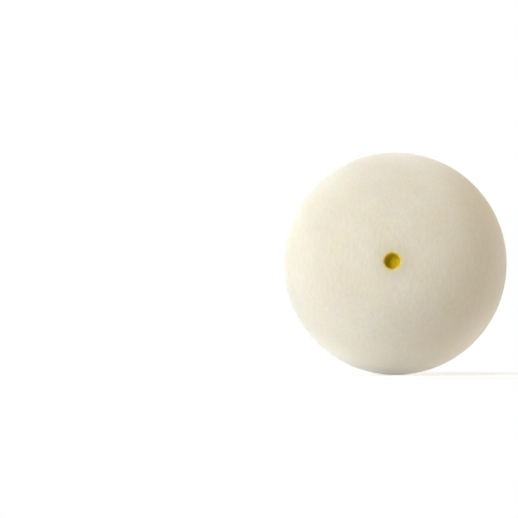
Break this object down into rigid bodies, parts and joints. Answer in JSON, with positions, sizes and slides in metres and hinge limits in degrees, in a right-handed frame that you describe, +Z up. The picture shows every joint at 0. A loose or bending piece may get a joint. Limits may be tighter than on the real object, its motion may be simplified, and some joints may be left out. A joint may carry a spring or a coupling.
{
  "type": "squash ball",
  "caption": "Hollow white rubber ball for squash, bonded from moulded half shells along a fine seam, with a recessed yellow dot at one pole and a black pad print at the other.",
  "frame": {"origin": "centre of the ball", "axes": "+Y along the moulding axis, from the dot's pole to the print's pole, so the dot faces -Y and the seam lies in the XZ plane; +Z up"},
  "size_m": [0.04, 0.0399, 0.04],
  "materials": {
    "white_rubber": "matte",
    "seam_rubber": "matte",
    "yellow_paint": "satin",
    "black_ink": "matte"
  },
  "bodies": {
    "root": {"dot_half_shell": "white_rubber", "print_half_shell": "white_rubber", "seam_bond": "seam_rubber", "dot_paint": "yellow_paint", "print_ink": "black_ink"}
  },
  "joints": []
}
